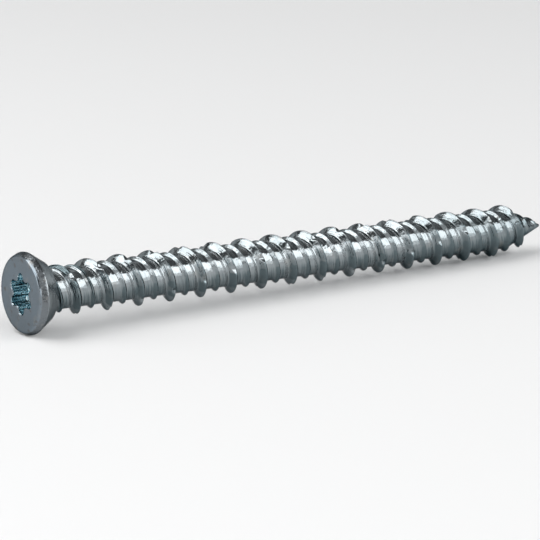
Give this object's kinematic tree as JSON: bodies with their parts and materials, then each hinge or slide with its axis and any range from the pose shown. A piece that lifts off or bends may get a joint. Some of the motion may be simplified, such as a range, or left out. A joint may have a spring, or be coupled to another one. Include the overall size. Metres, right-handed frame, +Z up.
{
  "type": "concrete screw",
  "caption": "Zinc-plated concrete screw with a countersunk six-lobe head and a notched high-low thread that runs from the head to a sharp point.",
  "frame": {"origin": "on the floor that the screw lies on, under the middle of its length", "axes": "+X runs along the floor from the head to the point, +Y across the screw, +Z up; the screw's own axis lies in the XZ plane and slopes down 1.39 degrees towards the point"},
  "size_m": [0.088, 0.0112, 0.0113],
  "materials": {
    "zinc_plate": "bright zinc plate with a clear blue passivate, glossy on the threads and satin on the face of the head"
  },
  "bodies": {
    "root": {"screw": "zinc_plate"}
  },
  "joints": []
}
